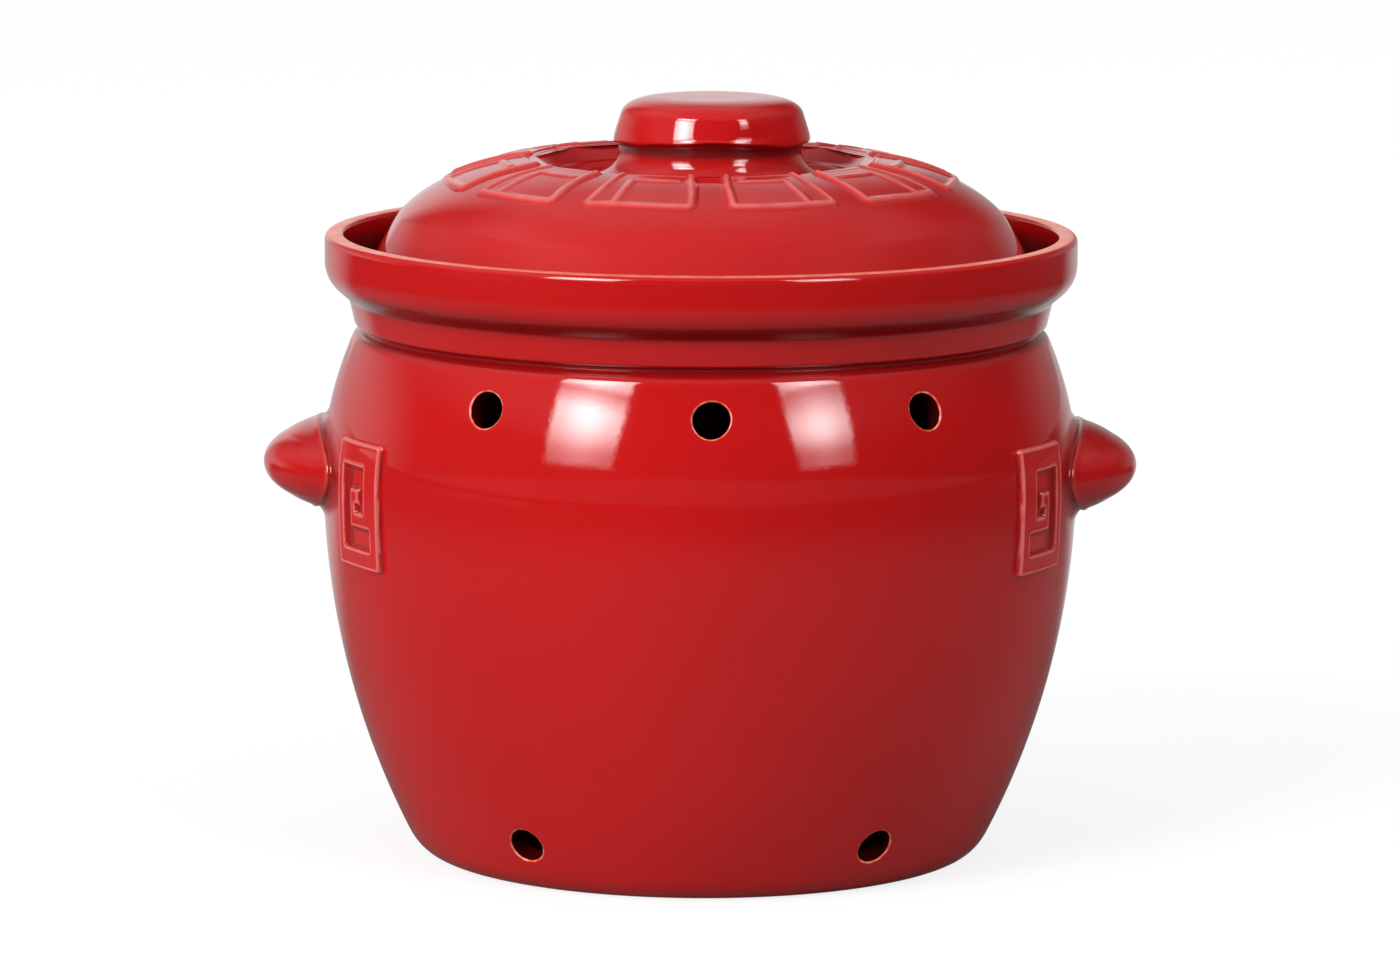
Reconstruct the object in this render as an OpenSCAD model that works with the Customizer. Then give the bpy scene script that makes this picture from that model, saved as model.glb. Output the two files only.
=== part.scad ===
// Potato storage pot in glazed stoneware: a bellied pot with air holes, two lugs,
// applied key ornament and a loose domed lid with a hollow knob.
// Millimetres, +Z up, origin under the middle of the foot.
// The front is towards -Y, and the two lugs stand on the X axis.

/* [Pot] */
// Greatest diameter of the belly
belly_d = 270.4; // [230:0.2:340]
// Height of the belly's widest level above the foot
belly_z = 137; // [110:1:160]
// Thickness of the thrown wall
wall_t = 7.5; // [5:0.5:10]
// Thickness of the floor
floor_t = 7.5; // [5:0.5:12]
// How far the wall draws in from the belly down to the rounded foot
base_inset = 30.2; // [20:0.2:42]
// Height of the foot's rounding
foot_round_h = 9; // [5:0.5:14]
// Width of the foot's rounding, from the wall in to the standing ring
foot_round_w = 12; // [8:0.5:18]
// Width of the standing ring
foot_ring_w = 9; // [5:0.5:16]
// Depth of the hollow inside the standing ring
foot_hollow = 2; // [1:0.5:4]

/* [Neck and rim] */
// Height of the turned groove that ends the shoulder
groove_z = 190.2; // [175:0.2:205]
// How far the shoulder draws in from the belly to the groove
neck_inset = 12.1; // [8:0.1:20]
// Height of the neck ring above the groove
neck_h = 8.3; // [5:0.1:14]
// How far the neck ring stands out past the groove
neck_out = 1.8; // [0.5:0.1:4]
// How far the rim band stands out past the groove
rim_out = 11.5; // [7:0.1:18]
// Height of the rim's curved underside
rim_under_h = 12.5; // [8:0.1:18]
// Height of the rim's upright band
rim_band_h = 12.5; // [8:0.1:20]
// Thickness of the rim
rim_t = 7; // [5:0.5:10]
// Depth of the gutter behind the rim
gutter_depth = 19.5; // [14:0.5:24]
// Thickness of the shelf under the gutter
shelf_t = 7.5; // [5:0.5:10]
// How far below the groove the shelf grows out of the inner wall
shelf_root = 4; // [1:0.5:10]
// Thickness of the collar round the mouth
collar_t = 7; // [5:0.5:10]
// Height of the collar above the gutter's floor
collar_h = 8; // [5:0.5:11]

/* [Air holes] */
// Diameter of the air holes
vent_d = 13; // [8:0.5:18]
// Middle of the upper holes below the groove
upper_vent_drop = 16.4; // [12:0.2:30]
// Angle between neighbouring upper holes
upper_vent_pitch = 35.5; // [25:0.5:45]
// Upper holes on each of the front and back
upper_vent_count = 3; // [1:1:3]
// Middle of the lower holes above the inside floor
lower_vent_up = 8.2; // [7:0.1:20]
// Angle between the two lower holes
lower_vent_pitch = 67; // [40:1:90]
// Turn of all holes away from the true front
vent_turn = 1; // [-5:0.5:5]

/* [Lugs] */
// How far each lug reaches out from the belly
lug_out = 21.5; // [14:0.5:30]
// Width of each lug along the wall
lug_w = 88; // [60:1:104]
// Height of each lug's rounded nose
lug_h = 28; // [18:0.5:40]
// Length of the rounded nose
lug_nose = 18.7; // [12:0.1:24]
// Spread of each lug's root above and below the nose
lug_flare = 3.5; // [1:0.5:6]
// Height of the lugs' middle
lug_z = 140.3; // [120:0.1:155]

/* [Key panels] */
// Width of each key panel along the wall
panel_w = 30.5; // [20:0.5:40]
// Height of each key panel
panel_h = 45; // [30:0.5:60]
// Height of the panels' middle
panel_z = 133.8; // [115:0.1:150]
// Space between a lug's root and its panels
panel_gap = 6.3; // [3:0.1:14]
// Thickness of the panels
panel_t = 2; // [1.5:0.1:4]
// Upright margins, as a share of a panel's width
panel_side = 0.165; // [0.1:0.005:0.2]
// Level margins, as a share of a panel's height
panel_end = 0.178; // [0.1:0.002:0.2]
// Upright channel of the key, as a share of a panel's width
panel_channel = 0.17; // [0.1:0.005:0.2]
// Level channels of the key, as a share of a panel's height
panel_cross = 0.169; // [0.1:0.001:0.2]
// Hook between the upright channels, as a share of a panel's width
panel_hook = 0.2; // [0.1:0.005:0.22]

/* [Lid] */
// Space between the lid's edge and the inside of the rim
lid_gap = 10.5; // [4:0.5:14]
// Thickness of the lid
lid_t = 6.5; // [4:0.5:8]
// Clearance between the lid's skirt and the mouth's collar
collar_clear = 2.5; // [1:0.1:4]
// Height of the lid's upright edge above its seat
skirt_h = 8; // [5:0.5:14]
// Rise of the dome above the upright edge
dome_h = 38.5; // [25:0.5:55]
// Level run of the dome, from the lid's edge in to its crown
dome_run = 67; // [62:0.5:80]
// Diameter of the well round the knob
well_d = 122; // [116:0.5:130]
// Depth of the well below the crown
well_depth = 5.2; // [3:0.1:8]
// Level run of the well's side
well_run = 8; // [5:0.5:10]

/* [Lid key tiles] */
// Number of key tiles round the dome
tile_count = 11; // [8:1:14]
// Space between neighbouring tiles at their middle
tile_gap = 8.2; // [4:0.1:14]
// Length of a tile down the dome
tile_len = 31; // [18:0.5:36]
// Space between the well's edge and the tiles
tile_margin = 1; // [0.5:0.1:6]
// Thickness of the tiles
tile_t = 2; // [1.5:0.1:4]
// Width of the ridge along the top of each tile
tile_top = 2.5; // [1.5:0.1:4]
// Width of the ridges at the sides of each tile
tile_side = 4; // [2:0.1:6]
// Width of the channel along the top and down one side
tile_channel = 5; // [2:0.1:7]
// Width of the ridge between the channel and the recess
tile_hook = 3; // [2:0.1:5]
// Width of the ridge along the bottom of each tile
tile_foot = 5; // [3:0.1:7]
// Turn of the first tile away from the front
tile_turn = -14.1; // [-30:0.1:30]

/* [Knob] */
// Diameter of the knob's cap
knob_d = 70.6; // [56:0.2:78]
// Height of the cap
knob_cap_h = 15.8; // [11:0.1:24]
// How far the cap overhangs the neck
knob_lip = 2.5; // [1:0.1:5]
// Height of the neck, with its flared foot
knob_neck_h = 11.5; // [8:0.1:18]
// Spread of the neck's flared foot
knob_flare = 9; // [4:0.1:10]
// Wall of the hollow knob
knob_wall = 10; // [6:0.5:12]
// Depth of the dish in the knob's top
knob_dish = 0.8; // [0.2:0.1:2]
// The knob's place to the right of the lid's middle
knob_off = 3; // [0:0.5:4]

/* [Hidden] */
// Faces round a full circle where the shape is shown as a mesh
$fn = 96;
// Thin joint of slip between pieces that are stuck together
lute_gap = 0.2;
// Depth to which the key channels are pressed
key_depth = 1.2;
// Extra length with which a cut clears the face that it starts from
overcut = 2;
// Faces along a full round stretch
steps = 12;
// Height of the groove, as a share of the neck ring's height
groove_share = 0.15;
// How much the neck ring's middle falls short of its top edge, as a share of its overhang
neck_ease = 0.25;
// Outward and upward pull of the rim's hollow underside, as shares of its run
hollow_pull = [0.45, 0.4];
// Inward and downward pull of the round under the rim's band, as shares of its run
round_pull = [0.3, 0.6];
// Width of the hanging channel, as a share of the climbing one
hang_share = 0.75;
// Height and inset of the cap's shoulder, as shares of the cap's height and of its overhang
shoulder_share = [0.45, 0.45];
// Radius of the cap's flat top, as a share of the cap's radius
flat_share = 0.62;
// Roundness of the cap's lower lip, as a share of its overhang
lip_round = 0.3;
// Pull of the knob's flared foot towards its corner, as shares of its spread and height
flare_pull = [0.18, 0.15];
// Tiles whose channel goes down the left side, seen from the middle of the lid's edge, are 1
tile_hands = [1, -1, -1, -1, -1, -1, 1, 1, 1, 1, 1, -1, 1, -1];

// Pot
belly_r = belly_d / 2;
base_r = belly_r - base_inset;
ring_r = base_r - foot_round_w;
inner_floor_z = foot_hollow + floor_t;
lower_arc_r = arc_through(base_inset, belly_z - foot_round_h);
upper_arc_r = arc_through(neck_inset, groove_z - belly_z);

// Neck, rim, gutter and collar
groove_r = belly_r - neck_inset;
neck_r = groove_r + neck_out;
neck_z = groove_z + neck_h;
rim_r = groove_r + rim_out;
rim_in_r = rim_r - rim_t;
rim_z = neck_z + rim_under_h + rim_band_h;
gutter_z = rim_z - gutter_depth;
shelf_z = groove_z - shelf_root;

// Lid, whose skirt stands on the gutter's floor and goes round the collar
lid_r = rim_in_r - lid_gap;
skirt_in_r = lid_r - lid_t;
collar_r = skirt_in_r - collar_clear;
mouth_r = collar_r - collar_t;
lid_edge_z = gutter_z + skirt_h;
crown_r = lid_r - dome_run;
well_r = well_d / 2;
well_floor_r = well_r - well_run;
well_z = dome_z(well_r) - well_depth;

// Lid key tiles
tile_r = well_r + tile_margin;
tile_end_r = tile_r + tile_len;
tile_mid_r = tile_r + tile_len / 2;
tile_angle = 360 / tile_count - along(tile_gap, tile_mid_r);
tile_edge_a = tile_angle / 2 - along(tile_side, tile_mid_r);
tile_leg_a = tile_edge_a - along(tile_channel, tile_mid_r);
tile_recess_a = tile_leg_a - along(tile_hook, tile_mid_r);
tile_channel_r = tile_r + tile_top;
tile_bar_r = tile_channel_r + tile_channel;
tile_foot_r = tile_end_r - tile_foot;

// Knob
knob_r = knob_d / 2;
knob_neck_r = knob_r - knob_lip;
knob_bore_r = knob_neck_r - knob_wall;
knob_z = well_z + lute_gap;
knob_cap_z = knob_z + knob_neck_h;
knob_top_z = knob_cap_z + knob_cap_h;

// Lugs: each is turned about an upright axis of its own, so that its sides reach lug_w at the wall
lug_reach = belly_r + lug_out;
lug_chord_x = sqrt(pow(wall_r(lug_z), 2) - pow(lug_w / 2, 2));
lug_axis_x = (pow(lug_reach, 2) - pow(lug_chord_x, 2) - pow(lug_w / 2, 2)) / (2 * (lug_reach - lug_chord_x));
lug_turn_r = lug_reach - lug_axis_x;
lug_root_a = asin(lug_w / 2 / wall_r(lug_z));

// Key panels
panel_a = lug_root_a + along(panel_gap, belly_r);
panel_angle = along(panel_w, belly_r);
panel_low_z = panel_z - panel_h / 2;

// Air holes
upper_vent_z = groove_z - upper_vent_drop;
lower_vent_z = inner_floor_z + lower_vent_up;

TILES = [for (i = [1:tile_count]) str("lid_key_tile_", i)];

// Radius of the arc that leaves the belly upright and draws in by inset over rise
function arc_through(inset, rise) = (inset * inset + rise * rise) / (2 * inset);

// Degrees taken up by a length along a circle of radius r
function along(length, r) = length / r * 180 / PI;

// Points of an arc round c from angle a0 to a1, without its first point
function arc(c, r, a0, a1) = [
    for (i = [1:steps]) let (a = a0 + (a1 - a0) * i / steps) c + r * [cos(a), sin(a)]
];

// Points of a bend from p0 to p2 that leaves and arrives towards p1, without its first point
function bend(p0, p1, p2, n = steps / 2) = [
    for (i = [1:n]) let (t = i / n) (1 - t) * (1 - t) * p0 + 2 * t * (1 - t) * p1 + t * t * p2
];

// Radius of the pot's outer wall at a height between the foot and the groove
function wall_r(z) = let (r = z < belly_z ? lower_arc_r : upper_arc_r)
    belly_r - r + sqrt(r * r - pow(z - belly_z, 2));

// Degrees by which the wall faces upwards at that height
function wall_tilt(z) = asin((z - belly_z) / (z < belly_z ? lower_arc_r : upper_arc_r));

// Height of the lid's dome at a radius
function dome_z(r) = lid_edge_z + dome_h * sqrt(1 - pow((r - crown_r) / dome_run, 2));

// Outer wall from the standing ring up to the groove
function outer_wall() = concat(
    [[ring_r, 0]],
    bend([ring_r, 0], [base_r - foot_round_h * tan(-wall_tilt(foot_round_h)), 0], [base_r, foot_round_h]),
    arc([belly_r - lower_arc_r, belly_z], lower_arc_r, wall_tilt(foot_round_h), 0),
    arc([belly_r - upper_arc_r, belly_z], upper_arc_r, 0, wall_tilt(groove_z)));

// Neck ring and the outside, top and inside of the rim, down to the gutter's floor
function rim() = let (
    run = [rim_r - neck_r, rim_under_h] / 2,
    groove_top = [groove_r, groove_z + neck_h * groove_share],
    swell = [neck_r - neck_out * neck_ease, groove_z + neck_h / 2],
    low = [neck_r, neck_z],
    mid = low + run,
    high = mid + run,
    hollow = low + [run[0] * hollow_pull[0], run[1] * hollow_pull[1]],
    round = high - [run[0] * round_pull[0], run[1] * round_pull[1]],
    cap = rim_t / 2)
    concat(
        [groove_top, swell, low],
        bend(low, hollow, mid, steps / 3),
        bend(mid, round, high, steps / 3),
        [[rim_r, rim_z - cap]],
        arc([rim_r - cap, rim_z - cap], cap, 0, 180),
        [[rim_in_r, gutter_z]]);

// Collar round the mouth, and the shelf's underside down to the inner wall
function mouth() = [
    [collar_r, gutter_z],
    [collar_r, gutter_z + collar_h - collar_t / 4],
    [collar_r - collar_t / 4, gutter_z + collar_h],
    [mouth_r + collar_t / 4, gutter_z + collar_h],
    [mouth_r, gutter_z + collar_h - collar_t / 4],
    [mouth_r, gutter_z - shelf_t]
];

// Inner wall from the shelf down to the floor, a wall's thickness inside the outer one
function inner_wall() = let (
    up = upper_arc_r - wall_t,
    low = lower_arc_r - wall_t,
    top = asin((shelf_z - belly_z) / up),
    bottom = asin((inner_floor_z - belly_z) / low))
    concat(
        [[belly_r - upper_arc_r, belly_z] + up * [cos(top), sin(top)]],
        arc([belly_r - upper_arc_r, belly_z], up, top, 0),
        arc([belly_r - lower_arc_r, belly_z], low, 0, bottom));

module air_hole(z, turn) {
    rotate([0, 0, turn - 90])
        translate([wall_r(z), 0, z])
            rotate([0, 90 - wall_tilt(z), 0])
                translate([0, 0, -wall_t - overcut])
                    cylinder(d = vent_d, h = wall_t + 2 * overcut);
}

module air_holes() {
    for (side = [0, 180]) {
        for (i = [0:upper_vent_count - 1])
            air_hole(upper_vent_z, side + vent_turn + (i - (upper_vent_count - 1) / 2) * upper_vent_pitch);
        for (i = [-1, 1])
            air_hole(lower_vent_z, side + vent_turn + i * lower_vent_pitch / 2);
    }
}

module pot_body() {
    hollow_r = ring_r - foot_ring_w;
    color("firebrick")
        difference() {
            rotate_extrude()
                polygon(concat(
                    [[0, foot_hollow], [hollow_r - foot_hollow, foot_hollow], [hollow_r, 0]],
                    outer_wall(), rim(), mouth(), inner_wall(),
                    [[0, inner_floor_z]]));
            air_holes();
        }
}

// The space that the pot's wall fills, with the joint of slip round it
module wall_space() {
    rotate_extrude()
        polygon(concat([[0, 0]], [for (p = outer_wall()) p + [lute_gap, 0]], [[0, groove_z]]));
}

// One half of the lug's side view, from the root out to the tip
function lug_side() = let (
    nose_r = lug_turn_r - lug_nose,
    root_r = nose_r - lug_nose / 2)
    concat(
        [[0, lug_h / 2 + lug_flare], [root_r, lug_h / 2 + lug_flare]],
        bend([root_r, lug_h / 2 + lug_flare], [nose_r - lug_nose / 4, lug_h / 2], [nose_r, lug_h / 2]),
        [for (i = [1:steps]) let (a = 90 - 90 * i / steps) [nose_r + lug_nose * cos(a), lug_h / 2 * sin(a)]]);

module lug() {
    top = lug_side();
    bottom = [for (i = [len(top) - 2:-1:0]) [top[i][0], -top[i][1]]];
    color("firebrick")
        difference() {
            translate([lug_axis_x, 0, lug_z])
                rotate_extrude()
                    polygon(concat(top, bottom));
            wall_space();
        }
}

// A piece of a layer on the pot's wall: from a0 to a1 degrees, between two heights, lo to hi off the wall
module wall_patch(a0, a1, z0, z1, lo, hi) {
    n = steps / 2;
    heights = [for (i = [0:n]) z0 + (z1 - z0) * i / n];
    rotate([0, 0, a0])
        rotate_extrude(angle = a1 - a0)
            polygon(concat(
                [for (z = heights) [wall_r(z) + lo, z]],
                [for (i = [n:-1:0]) [wall_r(heights[i]) + hi, heights[i]]]));
}

// Front view of the panel's key in shares of its width and height: a channel along the bottom that
// climbs at the lug's side, crosses the top and hangs down as a narrow hook
function panel_key() = let (
    climb = panel_side + panel_channel,
    hang = climb + panel_hook,
    hang_end = hang + panel_channel * hang_share,
    low = panel_end + panel_cross,
    high = 1 - panel_end - panel_cross,
    hang_low = low + (high - low) / 3)
    [
        [panel_side, panel_end],
        [1 - panel_side, panel_end],
        [1 - panel_side, low],
        [climb, low],
        [climb, high],
        [hang, high],
        [hang, hang_low],
        [hang_end, hang_low],
        [hang_end, 1 - panel_end],
        [panel_side, 1 - panel_end]
    ];

// A key panel beside the right lug
module key_panel() {
    floor_off = lute_gap + panel_t - key_depth;
    outline = [for (p = panel_key()) [(p[0] - 0.5) * panel_w, panel_low_z + p[1] * panel_h]];
    color("firebrick")
        difference() {
            wall_patch(panel_a, panel_a + panel_angle, panel_low_z, panel_low_z + panel_h,
                lute_gap, lute_gap + panel_t);
            intersection() {
                wall_patch(panel_a, panel_a + panel_angle, panel_low_z, panel_low_z + panel_h,
                    floor_off, floor_off + overcut);
                rotate([90, 0, 90 + panel_a + panel_angle / 2])
                    linear_extrude(lug_reach)
                        polygon(outline);
            }
        }
}

// The well's side, an easy curve from the crown down to the well's floor
function well_side() = [
    for (i = [0:steps]) let (t = i / steps)
        [well_r - well_run * t, well_z + well_depth * (1 + cos(180 * t)) / 2]
];

module lid_shell() {
    inner_run = dome_run - lid_t;
    inner_h = dome_h - lid_t;
    inner_turn = acos((well_r + lid_t - crown_r) / inner_run);
    outer_turn = acos((well_r - crown_r) / dome_run);
    color("firebrick")
        difference() {
            rotate_extrude()
                polygon(concat(
                    [[skirt_in_r, gutter_z], [lid_r, gutter_z], [lid_r, lid_edge_z]],
                    [for (i = [1:steps - 1]) let (a = outer_turn * i / steps)
                        [crown_r + dome_run * cos(a), lid_edge_z + dome_h * sin(a)]],
                    well_side(),
                    [[0, well_z], [0, well_z - lid_t], [well_floor_r + lid_t / 2, well_z - lid_t]],
                    [for (i = [steps:-1:0]) let (a = inner_turn * i / steps)
                        [crown_r + inner_run * cos(a), lid_edge_z + inner_h * sin(a)]]));
            translate([knob_off, 0, well_z - lid_t - overcut])
                cylinder(r = knob_bore_r, h = lid_t + 2 * overcut);
        }
}

// Half section of the hollow knob: flared foot, neck, overhanging cap and dished top
module lid_knob() {
    foot_out = [knob_neck_r + knob_flare, knob_z];
    foot_turn = [knob_neck_r + knob_flare * flare_pull[0], knob_z + knob_neck_h * flare_pull[1]];
    neck_top = [knob_neck_r, knob_cap_z - knob_lip];
    lip_in = [knob_r - knob_lip * (1 - lip_round), knob_cap_z - knob_lip * lip_round];
    cap_low = [knob_r, knob_cap_z + knob_lip * lip_round];
    cap_side = [knob_r - knob_lip * shoulder_share[1], knob_cap_z + knob_cap_h * shoulder_share[0]];
    cap_turn = [knob_r - knob_lip, knob_top_z];
    cap_rim = [knob_r * flat_share, knob_top_z];
    bore_top = knob_top_z - knob_wall;
    color("firebrick")
        translate([knob_off, 0, 0])
            rotate_extrude()
                polygon(concat(
                    [[knob_bore_r, knob_z], foot_out],
                    bend(foot_out, foot_turn, neck_top),
                    [lip_in, cap_low, cap_side],
                    bend(cap_side, cap_turn, cap_rim),
                    [[0, knob_top_z - knob_dish], [0, bore_top]],
                    bend([0, bore_top], [knob_bore_r, bore_top], [knob_bore_r, knob_cap_z])));
}

// A piece of a layer on the lid's dome: from a0 to a1 degrees, between two radii, lo to hi above the dome
module dome_patch(a0, a1, r0, r1, lo, hi) {
    n = steps / 2;
    radii = [for (i = [0:n]) r0 + (r1 - r0) * i / n];
    rotate([0, 0, a0])
        rotate_extrude(angle = a1 - a0)
            polygon(concat(
                [for (r = radii) [r, dome_z(r) + lo]],
                [for (i = [n:-1:0]) [radii[i], dome_z(radii[i]) + hi]]));
}

// Points of a circle of radius r from a0 to a1 degrees
function sweep(r, a0, a1) = [for (i = [0:steps]) let (a = a0 + (a1 - a0) * i / steps) r * [cos(a), sin(a)]];

// Plan of the channel along a tile's top and down one side
function tile_channel_plan() = concat(
    sweep(tile_channel_r, tile_edge_a, -tile_edge_a),
    sweep(tile_foot_r, -tile_edge_a, -tile_leg_a),
    sweep(tile_bar_r, -tile_leg_a, tile_edge_a));

// Plan of the recess that the channel goes round
function tile_recess_plan() = concat(
    sweep(tile_bar_r + tile_hook, -tile_recess_a, tile_edge_a),
    sweep(tile_foot_r, tile_edge_a, -tile_recess_a));

module key_tile() {
    floor_off = lute_gap + tile_t - key_depth;
    color("firebrick")
        difference() {
            dome_patch(-tile_angle / 2, tile_angle / 2, tile_r, tile_end_r, lute_gap, lute_gap + tile_t);
            intersection() {
                dome_patch(-tile_angle, tile_angle, tile_r, tile_end_r, floor_off, floor_off + overcut);
                linear_extrude(knob_top_z) {
                    polygon(tile_channel_plan());
                    polygon(tile_recess_plan());
                }
            }
        }
}

module placed_tile(i) {
    rotate([0, 0, tile_turn - 90 + (i - 1) * 360 / tile_count])
        mirror([0, tile_hands[(i - 1) % len(tile_hands)] < 0 ? 1 : 0, 0])
            key_tile();
}

pot_body();
lug();  // right_lug
mirror([1, 0, 0]) lug();  // left_lug
key_panel();  // right_rear_key_panel
mirror([0, 1, 0]) key_panel();  // right_front_key_panel
mirror([1, 0, 0]) key_panel();  // left_rear_key_panel
rotate([0, 0, 180]) key_panel();  // left_front_key_panel
lid_shell();
lid_knob();
for (i = [1:tile_count]) placed_tile(i);
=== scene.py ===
import math

import bmesh
import bpy
import numpy as np
from mathutils import Matrix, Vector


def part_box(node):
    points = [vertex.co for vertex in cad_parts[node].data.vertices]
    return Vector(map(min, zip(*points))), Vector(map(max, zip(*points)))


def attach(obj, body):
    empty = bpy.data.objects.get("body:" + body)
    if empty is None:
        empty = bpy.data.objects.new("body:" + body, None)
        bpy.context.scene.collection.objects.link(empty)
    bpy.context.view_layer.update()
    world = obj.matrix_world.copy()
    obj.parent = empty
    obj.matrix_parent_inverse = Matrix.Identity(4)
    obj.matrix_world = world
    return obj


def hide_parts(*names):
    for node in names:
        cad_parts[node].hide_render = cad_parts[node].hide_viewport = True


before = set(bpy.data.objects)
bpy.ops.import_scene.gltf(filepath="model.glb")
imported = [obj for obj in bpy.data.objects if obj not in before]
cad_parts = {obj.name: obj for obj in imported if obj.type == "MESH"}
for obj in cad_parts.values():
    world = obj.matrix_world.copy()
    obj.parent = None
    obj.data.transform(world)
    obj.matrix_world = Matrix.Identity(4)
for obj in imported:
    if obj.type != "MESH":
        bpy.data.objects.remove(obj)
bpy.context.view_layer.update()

# Sizes in metres; what a solid of the frame shows is measured on it
MM = 0.001
pot_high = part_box("pot_body")[1]
lid_low, lid_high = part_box("lid_shell")
knob_low, knob_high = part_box("lid_knob")
lug_low, lug_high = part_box("right_lug")
panel_low, panel_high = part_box("right_rear_key_panel")

# Pot, from the standing ring up to the groove that ends the shoulder
BELLY_R = pot_high.x
BELLY_Z = 137 * MM
WALL_T = 7.5 * MM
FOOT_ROUND_H = 9 * MM
FOOT_HOLLOW = 2 * MM
BASE_R = BELLY_R - 30.2 * MM
RING_R = BASE_R - 12 * MM
RING_IN_R = RING_R - 9 * MM
FLOOR_Z = FOOT_HOLLOW + 7.5 * MM
RIM_Z = pot_high.z
GROOVE_Z = RIM_Z - 33.3 * MM
GROOVE_R = BELLY_R - 12.1 * MM
SHOULDER_Z = GROOVE_Z - 18.7 * MM
SHOULDER_R = BELLY_R - 5 * MM
COVE_Z = SHOULDER_Z - 9.3 * MM
COVE_PULL = 7.7 * MM
EDGE_R = GROOVE_R + 2 * MM
EDGE_Z = GROOVE_Z - 4.9 * MM
EDGE_TILT = math.radians(22.5)
EDGE_PULL = 3.2 * MM
GROOVE_FLOOR_R = GROOVE_R - 1.9 * MM
GROOVE_FLOOR_Z = GROOVE_Z - 1 * MM

# Neck ring, rim, gutter and mouth
NECK_Z = GROOVE_Z + 10.2 * MM
NECK_R = GROOVE_R + 2.9 * MM
RIM_R = BELLY_R - 0.6 * MM
RIM_IN_R = RIM_R - 7 * MM
BAND_Z = RIM_Z - 15.9 * MM
GUTTER_Z = lid_low.z
COLLAR_Z = GUTTER_Z + 8 * MM
COLLAR_R = 108.1 * MM
MOUTH_R = COLLAR_R - 7 * MM
SHELF_Z = GROOVE_Z - 4 * MM

# Air holes: their bore, the rings of points round it outside and inside, heights, and turns from the front
VENT_R = 6.5 * MM
VENT_LIP = 0.7 * MM
VENT_FOOT_R = 8.1 * MM
VENT_RING_R = 9 * MM
VENT_CUT_R = 10.5 * MM
VENT_RING_IN_R = 8.4 * MM
VENT_CUT_IN_R = 9.6 * MM
VENT_TURN = math.radians(1)
VENT_STRAY = math.radians(0.7)
UPPER_VENT_Z = GROOVE_Z - 16.4 * MM
UPPER_VENT_PITCH = math.radians(35.9)
LOWER_VENT_Z = FLOOR_Z + 8.2 * MM
LOWER_VENT_PITCH = math.radians(67)
LOWER_STRAY = math.radians(-0.9)

# Lugs
LUG_TIP = lug_high.x
LUG_Z = (lug_low.z + lug_high.z) / 2
LUG_TURN_R = 47.95 * MM
LUG_NOSE = 26 * MM
LUG_HALF_H = 14.5 * MM
LUG_FLARE = 0.13
LUG_MELT = 4 * MM
LUG_RING = 3.6 * MM
LUG_GROOVE = LUG_RING - 1.8 * MM
LUG_HEART_X = 120 * MM
LUG_REACH = 60 * MM
LUG_FAN_WIDTH = 2.45

# Key panels on the wall
LUTE = 0.2 * MM
PANEL_T = 2 * MM
PANEL_H = panel_high.z - panel_low.z

# Lid
LID_R = lid_high.x
LID_T = 6.5 * MM
LID_EDGE_Z = GUTTER_Z + 8 * MM
DOME_H = 38.5 * MM
DOME_RUN = 65.8 * MM
CROWN_R = LID_R - 67 * MM
DOME_END_R = LID_R - 9.4 * MM
LID_FOOT_R = LID_R - 1.4 * MM
LID_FOOT_Z = LID_EDGE_Z + 5.5 * MM
LID_FOOT_PULL = 1.5 * MM
LID_FOOT_TILT = math.radians(46.7)
WELL_R = 61 * MM
WELL_FLOOR_R = WELL_R - 8 * MM
WELL_DEPTH = 5.2 * MM

# Key tiles on the dome
TILE_COUNT = 11
TILE_R = WELL_R + 1 * MM
TILE_LEN = 31 * MM
TILE_MID_R = TILE_R + TILE_LEN / 2
TILE_ANGLE = 2 * math.pi / TILE_COUNT - 8.2 * MM / TILE_MID_R
TILE_TURN = math.radians(-14.1)
TILE_BAR = 9 * MM
TILE_LEG = 10.5 * MM
TILE_GAP = 7 * MM
TILE_CORNER = 4 * MM
TILE_BASE = 0.35 * MM
RIDGE_HALF = 2.4 * MM
RIDGE_H = 1.1 * MM
# Tiles whose channel goes down the left side, seen from the middle of the lid's edge, are 1
TILE_HANDS = (1, -1, -1, -1, -1, -1, 1, 1, 1, 1, 1)

# Knob
KNOB_X = (knob_low.x + knob_high.x) / 2
KNOB_R = 35.3 * MM
KNOB_NECK_R = KNOB_R - 2.5 * MM
KNOB_BORE_R = KNOB_NECK_R - 10 * MM
KNOB_FOOT_R = knob_high.x - KNOB_X
KNOB_CAP_Z = knob_low.z + 11.5 * MM
KNOB_TOP_Z = knob_high.z
KNOB_FLAT_R = KNOB_R * 0.5
KNOB_PULL_R = KNOB_R * 0.88
KNOB_SIDE_R = KNOB_R * 0.925
KNOB_LIP_R = KNOB_R * 0.985
KNOB_SIDE_Z = KNOB_TOP_Z - 0.39 * (KNOB_TOP_Z - KNOB_CAP_Z)
KNOB_LEAN = 0.65 * MM
LIP_LIFT = 1.7 * MM
BULGE_TURN = math.radians(290)
BULGE_SPREAD = math.radians(15)
BULGE = 1.1 * MM

# Fineness of the meshes
SEGMENTS = 256
RELIEF_STEP = 0.3 * MM
MARKS = ("thin", "pool", "bare")

# How thin the glaze is on the rim; how pale the tiles' ridges are painted, as thin glaze and painted sheen;
# how dark the glaze is painted as shade under the band, in the gutter and in the groove; and how deep it
# pools on the lid
RIM_THIN = 0.62
RIDGE_THIN_AND_SHEEN = 0.42
SHADE_UNDER_BAND = 0.78
SHADE_IN_GUTTER = 0.8
SHADE_IN_GROOVE = 0.55
POOL_ON_LID = 0.4


def unit(vector):
    return vector / np.linalg.norm(vector)


def smooth(values):
    """Eases values from 0 to 1, and holds them there outside"""
    t = np.clip(values, 0, 1)
    return t * t * (3 - 2 * t)


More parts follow.
